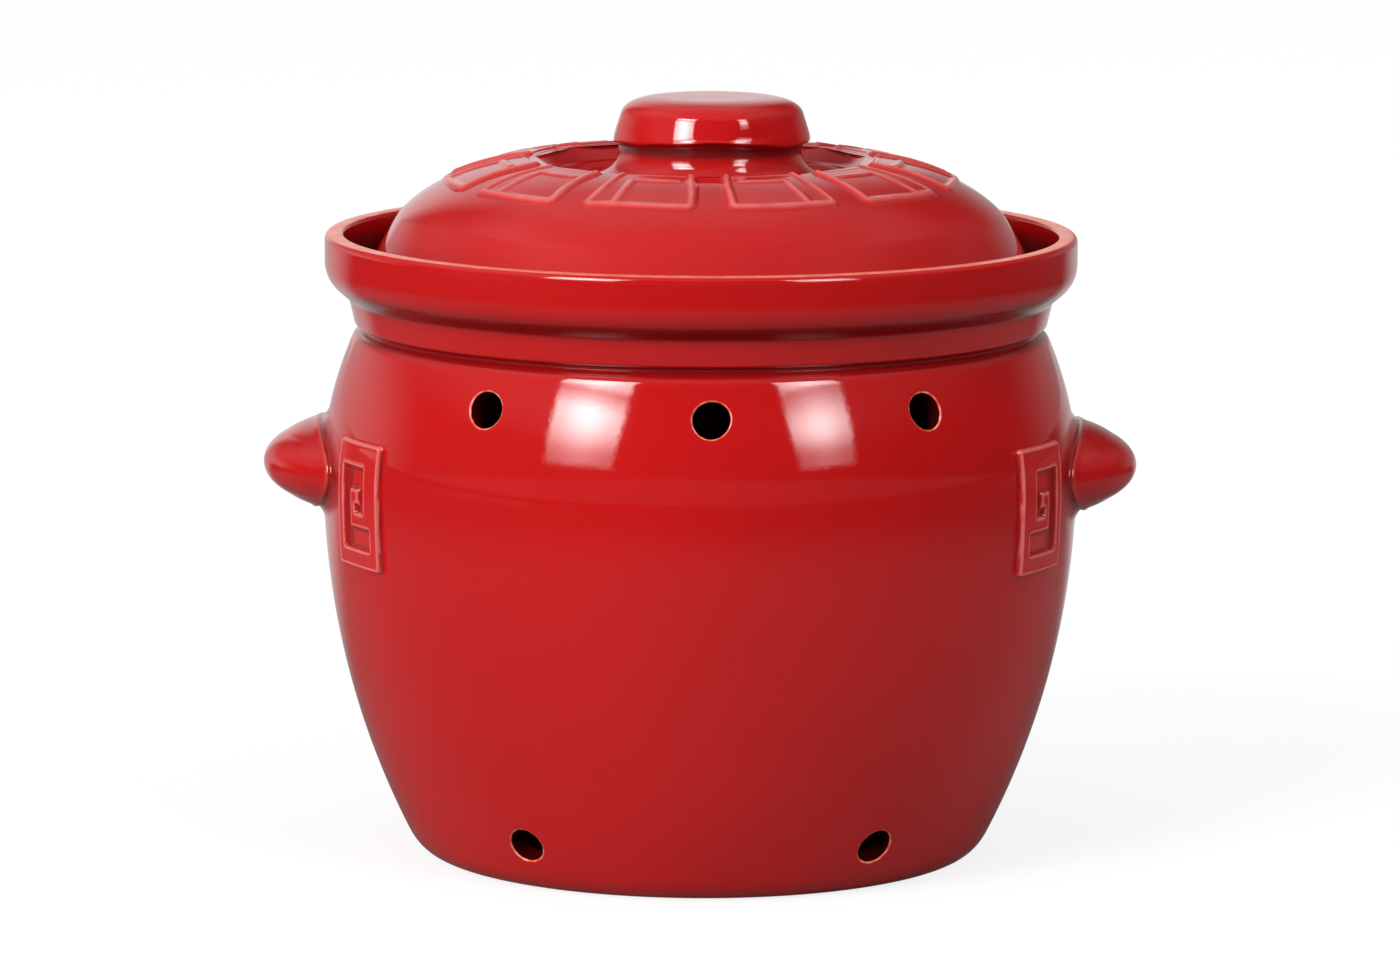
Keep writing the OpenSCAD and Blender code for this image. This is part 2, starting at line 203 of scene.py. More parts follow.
def bend(start, pull, end, count=12):
    """Points of a bend that leaves start and arrives at end towards pull"""
    t = np.linspace(0, 1, count + 1)[:, None]
    return (1 - t) ** 2 * np.array(start) + 2 * t * (1 - t) * np.array(pull) + t ** 2 * np.array(end)


def arc(centre, radius, start, end, count=60):
    """Points of an arc between two angles above the level"""
    a = np.linspace(start, end, count + 1)
    return np.array(centre) + radius * np.stack([np.cos(a), np.sin(a)], axis=1)


def eased(corners):
    """Points of a line through corners (r, z, ease), each turned in a bend that starts ease away from it"""
    points = []
    for i, (r, z, ease) in enumerate(corners):
        here = np.array((r, z))
        if ease == 0:
            points.append(here[None])
            continue
        back = unit(np.array(corners[i - 1][:2]) - here)
        on = unit(np.array(corners[i + 1][:2]) - here)
        points.append(bend(here + back * ease, here, here + on * ease, 8))
    return np.concatenate(points)


def filled(path, step=2 * MM):
    """The path with points added so that no stretch is longer than step, and none twice"""
    out = [path[:1]]
    for a, b in zip(path[:-1], path[1:]):
        length = np.linalg.norm(b - a)
        if length > 0.01 * MM:
            count = math.ceil(length / step)
            out.append(a + (b - a) * np.linspace(0, 1, count + 1)[1:, None])
    return np.concatenate(out)


def standing_out(path, reach=1.1 * MM, step=0.1 * MM):
    """How far each point of a turned outline stands out of it when smoothed: hollows stand below 0"""
    length = np.concatenate([[0], np.cumsum(np.linalg.norm(np.diff(path, axis=0), axis=1))])
    even = np.arange(0, length[-1], step)
    fine = np.stack([np.interp(even, length, path[:, i]) for i in (0, 1)], axis=1)
    half = int(4 * reach / step)
    bell = np.exp(-0.5 * (np.arange(-half, half + 1) * step / reach) ** 2)
    bell /= bell.sum()
    soft = np.stack([np.convolve(np.pad(fine[:, i], half, "edge"), bell, "valid") for i in (0, 1)], axis=1)
    run = np.gradient(soft, axis=0)
    out = np.stack([run[:, 1], -run[:, 0]], axis=1) / np.linalg.norm(run, axis=1)[:, None]
    return np.interp(length, even, np.sum((fine - soft) * out, axis=1))


class Skin:
    """Points, faces and marks of one piece while it is being made"""

    def __init__(self):
        self.points = np.zeros((0, 3))
        self.marks = {mark: np.zeros(0) for mark in MARKS}
        self.faces = []

    def add(self, points, **marks):
        """Adds an array of points and returns their numbers in the same layout"""
        layout = points.shape[:-1]
        first = len(self.points)
        self.points = np.concatenate([self.points, points.reshape(-1, 3)])
        for mark in MARKS:
            values = np.broadcast_to(marks.get(mark, 0.0), layout).reshape(-1)
            self.marks[mark] = np.concatenate([self.marks[mark], values])
        return np.arange(first, len(self.points)).reshape(layout)

    def face(self, corners):
        """Adds a face, leaving out corners that fall together"""
        corners = list(dict.fromkeys(int(c) for c in corners))
        if len(corners) > 2:
            self.faces.append(corners)

    def sheet(self, grid, gone=None):
        """Adds the faces between the rows and columns of a grid of points, but not those that are gone"""
        quads = np.stack([grid[:-1, :-1], grid[:-1, 1:], grid[1:, 1:], grid[1:, :-1]], axis=-1)
        for corners in quads.reshape(-1, 4) if gone is None else quads[~gone]:
            self.face(corners)

    def apart(self, a, b):
        """Distance between two points"""
        return np.linalg.norm(self.points[a] - self.points[b])

    def zip(self, loop, ring):
        """Joins two closed loops of points, both in order of turn, by triangles with short sides"""
        i, j = 0, 0
        while i < len(loop) or j < len(ring):
            a, b = loop[i % len(loop)], ring[j % len(ring)]
            next_a, next_b = loop[(i + 1) % len(loop)], ring[(j + 1) % len(ring)]
            if j >= len(ring) or (i < len(loop) and self.apart(next_a, b) <= self.apart(next_b, a)):
                i += 1
                self.face((a, next_a, b))
            else:
                j += 1
                self.face((a, next_b, b))

    def build(self, node, body, slot, material):
        """Makes the piece that stands for a solid of the frame"""
        used = np.unique(np.concatenate([np.array(face) for face in self.faces]))
        place = np.zeros(len(self.points), int)
        place[used] = np.arange(len(used))
        mesh = bpy.data.meshes.new(node + "_skin")
        mesh.from_pydata(self.points[used].tolist(), [], [place[face].tolist() for face in self.faces])
        for mark in MARKS:
            mesh.attributes.new(mark, "FLOAT", "POINT").data.foreach_set("value", self.marks[mark][used])
        shaped = bmesh.new()
        shaped.from_mesh(mesh)
        bmesh.ops.recalc_face_normals(shaped, faces=shaped.faces)
        shaped.to_mesh(mesh)
        shaped.free()
        mesh.polygons.foreach_set("use_smooth", [True] * len(mesh.polygons))
        mesh.materials.append(material)
        piece = bpy.data.objects.new(node + "_skin", mesh)
        bpy.context.scene.collection.objects.link(piece)
        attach(piece, body)
        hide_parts(node)


def closed(grid):
    """A grid of points whose last column joins its first"""
    return np.concatenate([grid, grid[:, :1]], axis=1)


def turned(path, centre_x=0.0):
    """Points of an outline (r, z) turned round an upright axis"""
    a = np.linspace(0, 2 * math.pi, SEGMENTS, endpoint=False)
    r, z = path[:, :1], path[:, 1:]
    return np.stack([centre_x + r * np.cos(a), r * np.sin(a), z + 0 * a], axis=-1)


def arris_marks(path, worn_z):
    """Marks of a turned outline: thin glaze on its arrises above worn_z, and pooled glaze in its hollows"""
    out = standing_out(path)[:, None]
    worn = 0.6 * (path[:, 1:] > worn_z)
    return {"thin": worn * smooth(out / (0.25 * MM) - 0.5), "pool": 0.5 * smooth(-out / (0.3 * MM))}


# Outlines of the pot

def arc_radius(inset, rise):
    """Radius of the arc that leaves the belly upright and draws in by inset over rise"""
    return (inset ** 2 + rise ** 2) / (2 * inset)


LOWER_ARC_R = arc_radius(BELLY_R - BASE_R, BELLY_Z - FOOT_ROUND_H)
UPPER_ARC_R = arc_radius(BELLY_R - SHOULDER_R, SHOULDER_Z - BELLY_Z)


def foot_outline():
    """Underside, from the axis out to the standing ring"""
    return eased([
        (0, FOOT_HOLLOW, 0),
        (RING_IN_R - FOOT_HOLLOW, FOOT_HOLLOW, 1 * MM),
        (RING_IN_R, 0, 0.6 * MM),
        (RING_R - 1 * MM, 0, 0)])


def wall_outline():
    """Outside from the standing ring up to the groove, with a hollow curve and a rounded edge below it"""
    lean = math.asin((BELLY_Z - FOOT_ROUND_H) / LOWER_ARC_R)
    tilt = math.asin((COVE_Z - BELLY_Z) / UPPER_ARC_R)
    foot = bend((RING_R, 0), (BASE_R - FOOT_ROUND_H * math.tan(lean), 0), (BASE_R, FOOT_ROUND_H))
    lower = arc((BELLY_R - LOWER_ARC_R, BELLY_Z), LOWER_ARC_R, -lean, 0, 90)
    upper = arc((BELLY_R - UPPER_ARC_R, BELLY_Z), UPPER_ARC_R, 0, tilt, 24)
    start = upper[-1]
    end = np.array((EDGE_R, EDGE_Z))
    up = np.array((-math.sin(EDGE_TILT), math.cos(EDGE_TILT)))
    leave = start + COVE_PULL * np.array((-math.sin(tilt), math.cos(tilt)))
    arrive = end - COVE_PULL * up
    t = np.linspace(0, 1, 25)[:, None]
    cove = ((1 - t) ** 3 * start + 3 * t * (1 - t) ** 2 * leave
            + 3 * t ** 2 * (1 - t) * arrive + t ** 3 * end)
    edge = bend(end, end + EDGE_PULL * up, (GROOVE_FLOOR_R, GROOVE_FLOOR_Z), 10)
    return filled(np.concatenate([foot, lower[1:], upper[1:], cove[1:], edge[1:]]))


def rim_outline():
    """Groove, neck ring, rim, gutter, collar and mouth, down to the shelf's root"""
    return eased([
        (GROOVE_FLOOR_R, GROOVE_FLOOR_Z, 0),
        (GROOVE_FLOOR_R, GROOVE_FLOOR_Z + 0.1 * MM, 0),
        (GROOVE_FLOOR_R, GROOVE_FLOOR_Z + 0.9 * MM, 0.4 * MM),
        (GROOVE_R + 0.8 * MM, GROOVE_Z + 1.2 * MM, 0.7 * MM),
        (NECK_R, NECK_Z, 1 * MM),
        (RIM_R, BAND_Z, 6 * MM),
        (RIM_R, RIM_Z, 2.6 * MM),
        (RIM_IN_R, RIM_Z, 1.8 * MM),
        (RIM_IN_R, GUTTER_Z, 3 * MM),
        (COLLAR_R, GUTTER_Z, 1.4 * MM),
        (COLLAR_R, COLLAR_Z, 2 * MM),
        (MOUTH_R, COLLAR_Z, 2 * MM),
        (MOUTH_R, GUTTER_Z - WALL_T, 1.5 * MM),
        (inner_r(SHELF_Z) - 2 * MM, SHELF_Z + 1.5 * MM, 0)])


def inner_r(z):
    """Radius of the inner wall, a wall's thickness inside the outer one"""
    radius = np.where(z < BELLY_Z, LOWER_ARC_R, UPPER_ARC_R)
    return BELLY_R - radius + np.sqrt((radius - WALL_T) ** 2 - (z - BELLY_Z) ** 2)


def inside_outline():
    """Inner wall from the shelf down to the floor, and the floor in to the axis"""
    heights = np.linspace(SHELF_Z, FLOOR_Z + 4 * MM, 90)
    wall = np.stack([inner_r(heights), heights], axis=1)
    low = wall[-1]
    floor_r = inner_r(FLOOR_Z) - 4 * MM
    turn = bend(low, (floor_r + 3 * MM, FLOOR_Z), (floor_r, FLOOR_Z), 6)
    floor = filled(np.array([(floor_r, FLOOR_Z), (0, FLOOR_Z)]), 5 * MM)
    return np.concatenate([wall, turn[1:], floor[1:]])


WALL_PATH = wall_outline()
INSIDE_PATH = inside_outline()


def wall_r(z):
    """Radius of the outer wall at a height"""
    return np.interp(z, WALL_PATH[:, 1], WALL_PATH[:, 0])


def inside_r(z):
    """Radius of the inside at a height above the floor"""
    return np.interp(z, INSIDE_PATH[::-1, 1], INSIDE_PATH[::-1, 0])


def onto(points, out, radius_at):
    """Moves points along out until they lie on a turned surface"""
    for _ in range(12):
        gap = np.hypot(points[..., 0], points[..., 1]) - radius_at(points[..., 2])
        points = points - gap[..., None] * out
    return points


# The pot

def loop_round(skin, grid, gone, rows, origin, across, up, out, radius):
    """Takes away a turned grid's faces near an axis, in some rows, and returns the loop left round them"""
    off = skin.points[grid[rows]] - origin
    x, y = off @ across, off @ up
    miss = np.maximum(np.maximum(np.minimum(y[:-1], y[1:]), -np.maximum(y[:-1], y[1:])), 0)
    half = np.sqrt(np.maximum(radius ** 2 - miss ** 2, 0))
    here, there = x[:-1], np.roll(x, -1, axis=1)[:-1]
    cut = (np.minimum(here, there) < half) & (np.maximum(here, there) > -half) & (miss < radius)
    cut &= off[:-1] @ out > -2 * WALL_T
    gone[rows.start:rows.stop - 1] |= cut
    ends = np.zeros((1, cut.shape[1]), int)
    column = np.concatenate([ends, cut, ends]).astype(int)
    count = column[:-1] + column[1:]
    count += np.roll(count, 1, axis=1)
    edge = (count > 0) & (count < 4)
    order = np.argsort(np.arctan2(y[edge], x[edge]))
    return grid[rows][edge][order]


def open_vent(skin, grid, gone, outer_rows, inner_rows, z, turn, hand):
    """Cuts an air hole through the wall, with a rounded lip that is a little out of true"""
    rise = 1 * MM
    tilt = math.atan2(wall_r(z - rise) - wall_r(z + rise), 2 * rise)
    out = np.array((math.sin(turn) * math.cos(tilt), -math.cos(turn) * math.cos(tilt), math.sin(tilt)))
    across = np.array((math.cos(turn), math.sin(turn), 0))
    up = np.cross(out, across)
    origin = np.array((wall_r(z) * math.sin(turn), -wall_r(z) * math.cos(turn), z))
    turns = np.linspace(-math.pi, math.pi, 48, endpoint=False)
    wobble = 1 + 0.02 * np.sin(2 * turns + 1.7 * hand) + 0.014 * np.sin(3 * turns + 2.9 * hand)

    def ring(radius, depth, radius_at):
        plane = origin - depth * out
        flat = plane + radius[:, None] * (np.cos(turns)[:, None] * across + np.sin(turns)[:, None] * up)
        return onto(flat, out, radius_at)

    worn = 0.65 + 0.35 * np.sin(4 * turns + 3 * hand) * np.sin(7 * turns + hand)
    outer_loop = loop_round(skin, grid, gone, outer_rows, origin, across, up, out, VENT_CUT_R)
    inner_loop = loop_round(skin, grid, gone, inner_rows, origin, across, up, out, VENT_CUT_IN_R)
    rows = [skin.add(ring(0 * turns + VENT_RING_R, 0, wall_r)),
            skin.add(ring(VENT_FOOT_R * wobble, 0, wall_r))]
    # The lip's pale ring is thin glaze and bare clay; from the lip's inner edge on, the bore is darkened as
    # painted shade
    for a in np.linspace(0, math.pi / 2, 6):
        lip = ring(VENT_R * wobble + VENT_LIP * (1 - math.sin(a)), 0, wall_r)
        lip = lip - VENT_LIP * (1 - math.cos(a)) * out
        rows.append(skin.add(lip, thin=math.sin(2 * a) * worn, pool=a > 1.4))
    bore_out = skin.points[rows[-1]]
    bore_in = ring(VENT_R * wobble, WALL_T, inside_r) + VENT_LIP * out
    for share in (0.2, 0.4, 0.6, 0.8, 1):
        rows.append(skin.add(bore_out + share * (bore_in - bore_out), pool=1))
    for a in (0.7, 1.57):
        lip = ring(VENT_R * wobble + VENT_LIP * (1 - math.cos(a)), WALL_T, inside_r)
        rows.append(skin.add(lip + VENT_LIP * (1 - math.sin(a)) * out))
    rows.append(skin.add(ring(0 * turns + VENT_RING_IN_R, WALL_T, inside_r)))
    skin.zip(outer_loop, rows[0])
    skin.sheet(closed(np.array(rows)))
    skin.zip(inner_loop, rows[-1])


def make_pot(material):
    """The thrown pot, open at its air holes"""
    skin = Skin()
    foot = filled(foot_outline(), 6 * MM)
    rim = filled(rim_outline())
    path = np.concatenate([foot, WALL_PATH, rim[1:], INSIDE_PATH])
    r, z = path[:, :1], path[:, 1:]
    bare = (z < 0.8 * MM) & (r > RING_IN_R - 1 * MM)
    marks = arris_marks(path, RIM_Z)
    marks["thin"] = np.maximum(marks["thin"], RIM_THIN * (z > RIM_Z - 0.3 * MM))
    # Painted shade: the glaze is darkened under the rim's band, down in the gutter and on the edge below the
    # groove, where shade falls
    under_z = (NECK_Z + BAND_Z) / 2 - 1 * MM
    under = np.exp(-((z - under_z) / (3 * MM)) ** 2) * (r > NECK_R - 1 * MM)
    in_gutter = (r > COLLAR_R - 1 * MM) & (r < RIM_IN_R + 0.5 * MM) & (z > GUTTER_Z - 1 * MM)
    gutter = in_gutter * smooth((RIM_Z - 2 * MM - z) / (9 * MM))
    in_groove = (r > GROOVE_R - 3 * MM) & (z < GROOVE_Z + 0.3 * MM)
    groove = in_groove * smooth((z - GROOVE_Z) / (2 * MM) + 2)
    marks["pool"] = np.maximum.reduce([
        marks["pool"], SHADE_UNDER_BAND * under, SHADE_IN_GUTTER * gutter, SHADE_IN_GROOVE * groove])
    grid = skin.add(turned(path), bare=bare, **marks)
    grid[0] = grid[0, 0]
    grid[-1] = grid[-1, 0]
    gone = np.zeros((len(path) - 1, SEGMENTS), bool)
    outer_rows = slice(len(foot), len(foot) + len(WALL_PATH))
    inner_rows = slice(len(path) - len(INSIDE_PATH), len(path))
    for side in (0, math.pi):
        for i in (-1, 0, 1):
            turn = side + VENT_TURN + i * UPPER_VENT_PITCH + (i == 0) * VENT_STRAY
            open_vent(skin, grid, gone, outer_rows, inner_rows, UPPER_VENT_Z, turn, 2 * i + side)
        for i in (-0.5, 0.5):
            turn = side + VENT_TURN + i * LOWER_VENT_PITCH + (i < 0) * LOWER_STRAY
            open_vent(skin, grid, gone, outer_rows, inner_rows, LOWER_VENT_Z, turn, 7 * i + side)
    skin.sheet(closed(grid), gone)
    skin.build("pot_body", "pot", "pot_glaze", material)


# The lugs

def lug_off(x, y, z):
    """Distance from a lug's surface: a long nose turned round an upright axis inside the pot"""
    inward = LUG_TURN_R - np.hypot(x - (LUG_TIP - LUG_TURN_R), y)
    squeeze = LUG_HALF_H / LUG_NOSE
    along = np.maximum(LUG_NOSE - inward, 0) * squeeze
    reach = np.maximum(np.hypot(along, z), 0.1 * MM)
    flare = LUG_FLARE * np.maximum(inward - 8 * MM, 0)
    slope = np.maximum(np.hypot(along / reach * squeeze, z / reach), 0.01)
    return (reach - LUG_HALF_H - flare) / slope


def wall_off(x, y, z):
    """Distance from the pot's outer wall, with z from the lug's middle"""
    return np.hypot(x, y) - wall_r(z + LUG_Z)


def root_ring(wall):
    """Height of the low ridge round a lug's root, with a groove between it and the wall"""
    ridge = np.exp(-((wall - LUG_RING) / (0.9 * MM)) ** 2)
    groove = np.exp(-((wall - LUG_GROOVE) / (0.9 * MM)) ** 2)
    return 0.4 * MM * ridge - 0.5 * MM * groove


def melted(x, y, z):
    """Distance from wall and lug together, with a hollow curve where they meet"""
    wall = wall_off(x, y, z)
    lug = lug_off(x, y, z) - root_ring(wall)
    share = np.maximum(LUG_MELT - np.abs(wall - lug), 0) / LUG_MELT
    return np.minimum(wall, lug) - share ** 2 * LUG_MELT / 4


def lug_points(fans, around):
    """Where rays from a point inside the wall leave wall and lug"""
    heart = np.array((LUG_HEART_X, 0, 0))
    way = np.stack([
        np.cos(fans),
        LUG_FAN_WIDTH * np.sin(fans) * np.cos(around),
        np.sin(fans) * np.sin(around)], axis=-1)
    far = np.full(fans.shape, LUG_REACH)
    for reach in np.linspace(LUG_REACH, 1 * MM, 119):
        p = heart + way * reach
        far = np.where(melted(p[..., 0], p[..., 1], p[..., 2]) > 0, reach, far)
    near = far - 1 * MM
    for _ in range(24):
        middle = (near + far) / 2
        p = heart + way * middle[..., None]
        outside = melted(p[..., 0], p[..., 1], p[..., 2]) > 0
        far = np.where(outside, middle, far)
        near = np.where(outside, near, middle)
    return heart + way * far[..., None]


def make_lug(side, node, material):
    """A lug that grows out of the wall, from its nose to where it has melted into the wall"""
    rings, spokes = 96, 168
    around = np.linspace(0, 2 * math.pi, spokes, endpoint=False)
    tries = np.linspace(0.3, 1.5, 241)
    fans, turns = np.meshgrid(tries, around, indexing="ij")
    p = lug_points(fans, turns)
    free = lug_off(p[..., 0], p[..., 1], p[..., 2]) - wall_off(p[..., 0], p[..., 1], p[..., 2]) > LUG_MELT
    last = tries[np.argmax(free, axis=0)]
    share = np.linspace(0, 1, rings + 1)[1:]
    p = lug_points(share[:, None] * last, np.broadcast_to(around, (rings, spokes)))
    sunk = []
    for depth in (0.06 * MM, 1.2 * MM):
        edge = p[-1] + (p[-1] - p[-2]) * (0.5 + depth / MM)
        radius = np.hypot(edge[:, 0], edge[:, 1])
        edge[:, :2] *= ((wall_r(edge[:, 2] + LUG_Z) - depth) / radius)[:, None]
        sunk.append(edge)
    p = np.concatenate([p, sunk])
    wall = wall_off(p[..., 0], p[..., 1], p[..., 2])
    # Thin glaze along the root ring's crest, painted pale as its sheen; painted shade in the groove between
    # ring and wall
    thin = 0.2 * np.exp(-((wall - LUG_RING) / (0.7 * MM)) ** 2)
    pool = 0.45 * np.exp(-((wall - LUG_GROOVE) / (1.4 * MM)) ** 2)
    p[..., 2] += LUG_Z
    tip = np.array([(LUG_TIP, 0, LUG_Z)])
    heart = np.array([(LUG_HEART_X, 0, LUG_Z)])
    skin = Skin()
    mirror = np.array((side, 1, 1))
    grid = skin.add(p * mirror, thin=thin, pool=pool)
    ends = skin.add(np.concatenate([tip, heart]) * mirror)
    top = np.full((1, spokes), ends[0])
    root = np.full((1, spokes), ends[1])
    skin.sheet(closed(np.concatenate([top, grid, root])))
    skin.build(node, "pot", "pot_glaze", material)


# Relief: the key panels and the key tiles

def box_off(u, v, u0, u1, v0, v1, corner=0.0):
    """Distance from a rectangle with rounded corners, less than 0 inside"""
    du = np.abs(u - (u0 + u1) / 2) - (u1 - u0) / 2 + corner
    dv = np.abs(v - (v0 + v1) / 2) - (v1 - v0) / 2 + corner
    outside = np.hypot(np.maximum(du, 0), np.maximum(dv, 0))
    return outside + np.minimum(np.maximum(du, dv), 0) - corner


def blurred(height, passes):
    """A height field smoothed by its neighbours"""
    for _ in range(passes):
        for axis in (0, 1):
            wide = np.pad(height, [(1, 1) if axis == i else (0, 0) for i in (0, 1)], "edge")
            height = (np.take(wide, range(0, height.shape[axis]), axis)
                      + 2 * height
                      + np.take(wide, range(2, height.shape[axis] + 2), axis)) / 4
    return height


def raised(height):
    """How far each point of a height field stands out of its surroundings"""
    return height - blurred(height, 14)


def relief(points, thin, pool):
    """A closed piece whose outside is a grid of points, and whose edges lie hidden in what carries it"""
    skin = Skin()
    grid = skin.add(points, thin=thin, pool=pool)
    skin.sheet(grid)
    skin.sheet(grid[:, [0, -1]])
    skin.face(grid[0])
    skin.face(grid[-1])
    return skin


def spread(low, high):
    """Even places from low to high, a relief step apart"""
    return np.linspace(low, high, int((high - low) / RELIEF_STEP) + 1)


def panel_height(u, v, width):
    """Height of a key panel over the wall, and where its climbing channel is darkened by pooled glaze and
    painted shade; u from the lug's side, v down
    """
    u = u + 0.15 * MM * np.sin(v / (6 * MM))
    plate = box_off(u, v, 0, width, 0, PANEL_H, 1.2 * MM)
    # Boxes that make up the channel, in millimetres: u from and to, v from and to
    climb = (5, 11.2, 9, 38)
    top = (5, 20.8, 9, 16.6)
    hang = (17.2, 20.8, 9, 25)
    curl = (14.6, 20.8, 22, 25)
    foot = (5, 24.8, 30.3, 38)
    boxes = np.array([climb, top, hang, curl, foot]) * MM
    channel = np.minimum.reduce([box_off(u, v, *box, 0.4 * MM) for box in boxes])
    edge = smooth(0.4 - plate / (1.1 * MM))
    sunk = smooth(0.5 - channel / (1.4 * MM))
    lip = np.exp(-((plate + 0.8 * MM) / (0.5 * MM)) ** 2)
    lip += 0.6 * np.exp(-((channel - 0.8 * MM) / (0.6 * MM)) ** 2)
    height = (PANEL_T + LUTE + 0.3 * MM) * edge - 0.5 * MM + (0.3 * MM * lip - 1.3 * MM * sunk) * edge
    return height, sunk * smooth((11.5 * MM - u) / (1.5 * MM))


def make_panel(side, front, node, material):
    """A key panel on the wall beside a lug"""
    start = math.asin(panel_low.y / (wall_r(panel_high.z) + LUTE))
    end = math.asin(panel_high.y / (BELLY_R + LUTE + PANEL_T))
    width = (end - start) * BELLY_R
    margin = 1 * MM
    u, v = np.meshgrid(spread(-margin, width + margin), spread(-margin, PANEL_H + margin))
    height, climbing = panel_height(u, v, width)
    z = panel_high.z - v
    r = wall_r(z) + height
    a = start + u / BELLY_R
    points = np.stack([side * r * np.cos(a), front * r * np.sin(a), z], axis=-1)
    out = raised(height)
    thin = 0.5 * smooth(out / (0.2 * MM) - 0.25)
    # Pooled glaze and painted shade in the relief's hollows and along the climbing channel
    pool = np.maximum(0.65 * smooth(-out / (0.2 * MM)), 0.6 * climbing)
    relief(points, thin, pool).build(node, "pot", "panel_glaze", material)


def dome_z(r):
    """Height of the lid's dome at a radius"""
    return LID_EDGE_Z + DOME_H * np.sqrt(1 - ((r - CROWN_R) / DOME_RUN) ** 2)


def past(value, low, high):
    """How far a value lies outside a range"""
    return np.maximum(np.maximum(low - value, value - high), 0)


def tile_height(u, v, number):
    """Height of a key tile over the dome, its ridges and its middle; u from its channel's side, v down"""
    u = u + 0.3 * MM * np.sin(v / (5 * MM) + number)
    v = v + 0.3 * MM * np.sin(u / (7 * MM) + 2 * number)
    r = TILE_R + v
    half = TILE_ANGLE / 2 * r
    from_side = np.maximum(TILE_CORNER - half + np.abs(u), 0)
    from_low = np.maximum(TILE_CORNER - TILE_LEN + v, 0)
    rounded = np.hypot(from_side, from_low) - TILE_CORNER
    leg_u = (TILE_LEG / TILE_MID_R - TILE_ANGLE / 2) * r
    border = np.abs(rounded + RIDGE_HALF)
    bar = np.hypot(past(u, leg_u, half - TILE_GAP), v - TILE_BAR)
    leg = np.hypot(u - leg_u, past(v, TILE_BAR, TILE_LEN - RIDGE_HALF))
    ridge = smooth(1 - np.minimum.reduce([border, bar, leg]) / RIDGE_HALF)
    middle = np.minimum(np.minimum(u - leg_u, v - TILE_BAR), -rounded - RIDGE_HALF)
    middle = smooth(middle / (1.2 * RIDGE_HALF) - 0.4)
    lip = np.exp(-((v - 1 * MM) / (0.7 * MM)) ** 2)
    edge = smooth(0.5 - rounded / (4.6 * MM)) * smooth(0.5 + v / (1.6 * MM))
    rise = TILE_BASE + RIDGE_H * ridge + 0.25 * MM * lip - 0.15 * MM * middle
    return (rise + 0.4 * MM) * edge - 0.4 * MM, ridge, middle


def make_tile(number, material):
    """A key tile on the dome"""
    hand = TILE_HANDS[number - 1]
    margin = 2.4 * MM
    half = TILE_ANGLE / 2 * TILE_MID_R + margin
    a, v = np.meshgrid(spread(-half, half) / TILE_MID_R, spread(-margin, TILE_LEN + margin))
    r = TILE_R + v
    height, ridge, middle = tile_height(hand * a * r, v, number)
    height = blurred(height, 8)
    rise = 0.1 * MM
    steep = np.arctan2(dome_z(r - rise) - dome_z(r + rise), 2 * rise)
    turn = TILE_TURN + (number - 1) * 2 * math.pi / TILE_COUNT + a
    out_r = r + height * np.sin(steep)
    points = np.stack([
        out_r * np.sin(turn),
        -out_r * np.cos(turn),
        dome_z(r) + height * np.cos(steep)], axis=-1)
    # The ridges are painted paler, as thin glaze and as painted sheen; the glaze is darkened as painted
    # shade beside the ridges and in the tile's middle
    thin = RIDGE_THIN_AND_SHEEN * ridge
    pool = np.maximum(0.3 * smooth(-raised(height) / (0.2 * MM)), 0.35 * middle)
    relief(points, thin, pool).build("lid_key_tile_%d" % number, "lid", "tile_glaze", material)


# The lid and its knob

WELL_Z = float(dome_z(WELL_R)) - WELL_DEPTH


def lid_outline():
    """Well, dome and edge from the hole under the knob outwards, and the underside back to it"""
    t = np.linspace(0, 1, 25)
    well = np.stack([WELL_FLOOR_R + (WELL_R - WELL_FLOOR_R) * t,
                     WELL_Z + WELL_DEPTH * (1 - np.cos(math.pi * t)) / 2], axis=1)
    around = np.linspace(WELL_R, DOME_END_R, 60)
    dome = np.stack([around, dome_z(around)], axis=1)
    pull = dome[-1] + LID_FOOT_PULL * np.array((math.cos(LID_FOOT_TILT), -math.sin(LID_FOOT_TILT)))
    foot = bend(dome[-1], pull, (LID_FOOT_R, LID_FOOT_Z))
    skirt_r = LID_R - LID_T
    under = eased([
        (LID_FOOT_R, LID_FOOT_Z, 0),
        (LID_R - 0.2 * MM, LID_EDGE_Z + 1.5 * MM, 1.2 * MM),
        (LID_R, GUTTER_Z + 0.1 * MM, 1.5 * MM),
        (skirt_r, GUTTER_Z + 0.1 * MM, 1.5 * MM),
        (skirt_r, LID_EDGE_Z, 0)])
    inner_run, inner_h = DOME_RUN - LID_T, DOME_H - LID_T
    turns = np.linspace(0, math.acos((WELL_R + LID_T - CROWN_R) / inner_run), 40)
    hollow = np.stack([CROWN_R + inner_run * np.cos(turns), LID_EDGE_Z + inner_h * np.sin(turns)], axis=1)
    ceiling = eased([
        (hollow[-1, 0], hollow[-1, 1], 0),
        (WELL_FLOOR_R + LID_T / 2, WELL_Z - LID_T, 3 * MM),
        (KNOB_BORE_R, WELL_Z - LID_T, 1 * MM),
        (KNOB_BORE_R, WELL_Z, 0)])
    floor = np.array([(KNOB_BORE_R, WELL_Z), (WELL_FLOOR_R, WELL_Z)])
    return filled(np.concatenate([floor, well[1:], dome[1:], foot[1:], under[1:], hollow[1:], ceiling[1:]]))


def make_lid(material):
    """The lid, whose hole lies under the knob"""
    path = lid_outline()[:-1]
    skin = Skin()
    points = turned(path)
    shift = KNOB_X * np.clip((WELL_FLOOR_R - path[:, 0]) / (WELL_FLOOR_R - KNOB_BORE_R), 0, 1)
    points[..., 0] += shift[:, None]
    bare = (path[:, 1:] < GUTTER_Z + 0.6 * MM) * 1.0
    marks = arris_marks(path, LID_EDGE_Z)
    marks["pool"] *= POOL_ON_LID
    grid = skin.add(points, bare=bare, **marks)
    skin.sheet(closed(np.concatenate([grid, grid[:1]])))
    skin.build("lid_shell", "lid", "lid_glaze", material)


